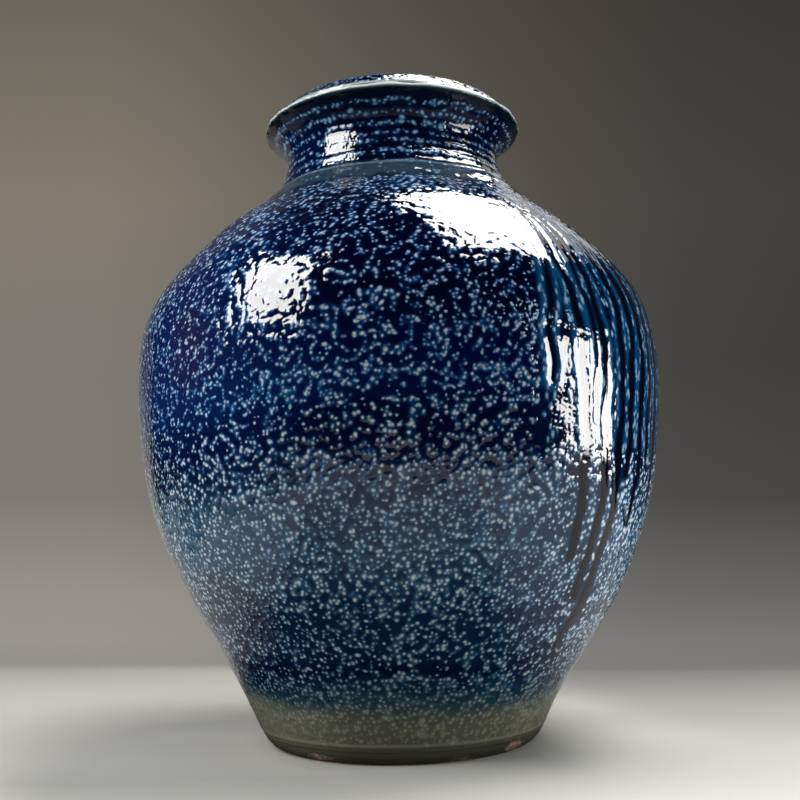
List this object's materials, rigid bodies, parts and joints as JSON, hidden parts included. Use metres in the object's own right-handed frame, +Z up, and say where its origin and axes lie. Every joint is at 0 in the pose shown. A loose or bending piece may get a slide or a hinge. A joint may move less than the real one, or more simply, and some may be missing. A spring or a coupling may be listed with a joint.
{
  "type": "fermentation crock",
  "caption": "Tall round-shouldered stoneware fermentation jar with a flared water-seal rim, a domed lid standing in the water channel, and half-moon weights inside.",
  "frame": {"origin": "centre of the ring the jar stands on, on the floor plane", "axes": "+Z up along the jar's axis; +X to the right and +Y away when the side with the glaze runs faces front right; the gap between the weights lies along X"},
  "size_m": [0.304, 0.304, 0.3935],
  "materials": {
    "jar_glaze": "cobalt salt glaze, glossy, with a raised orange-peel of pale blue dots, pale runs on one side and an olive-grey foot",
    "lid_glaze": "the same cobalt salt glaze, darker between its dots",
    "weight_stoneware": "unglazed buff stoneware, matte, lightly speckled"
  },
  "bodies": {
    "crock": {"jar_body": "jar_glaze"},
    "lid": {"lid": "lid_glaze"},
    "weight_left": {"weight_left": "weight_stoneware"},
    "weight_right": {"weight_right": "weight_stoneware"}
  },
  "joints": [
    {"name": "lid_lift", "type": "slide", "parent": "crock", "child": "lid", "axis": [0, 0, 1], "range_m": [0, 0.12]},
    {"name": "weight_left_slide", "type": "slide", "parent": "crock", "child": "weight_left", "axis": [0, 0, 1], "range_m": [0, 0.25]},
    {"name": "weight_right_slide", "type": "slide", "parent": "crock", "child": "weight_right", "axis": [0, 0, 1], "range_m": [0, 0.25]}
  ]
}
